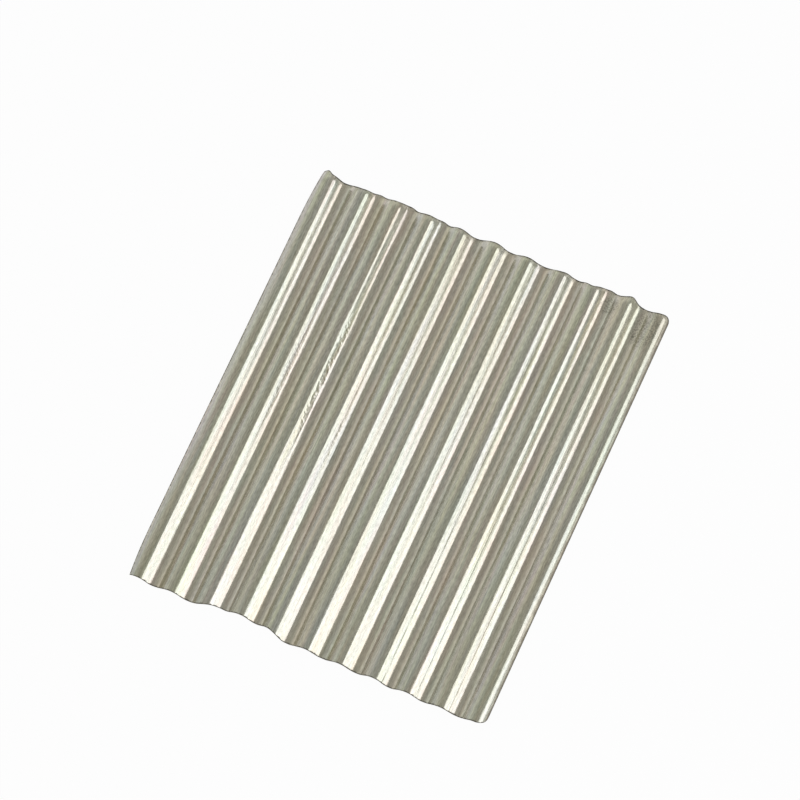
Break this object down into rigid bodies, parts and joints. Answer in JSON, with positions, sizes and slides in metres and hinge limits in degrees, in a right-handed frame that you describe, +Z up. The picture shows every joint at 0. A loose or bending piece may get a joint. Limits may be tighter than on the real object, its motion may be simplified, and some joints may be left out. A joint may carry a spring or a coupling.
{
  "type": "corrugated metal sheet",
  "caption": "Flat-lying rectangular sheet of zinc-coated steel, roll-formed into round parallel corrugations with both side edges turned down, for roofing and cladding.",
  "frame": {"origin": "centre of the sheet's plan, on the level of the undersides of the troughs", "axes": "+Z up off the surface it lies on, +Y along the corrugations, +X across them towards the edge with rounded corners"},
  "size_m": [0.807, 0.975, 0.0186],
  "materials": {
    "galvanised_steel": "bare zinc coating, satin, with faint streaks along the corrugations"
  },
  "bodies": {
    "root": {"corrugated_sheet": "galvanised_steel"}
  },
  "joints": []
}
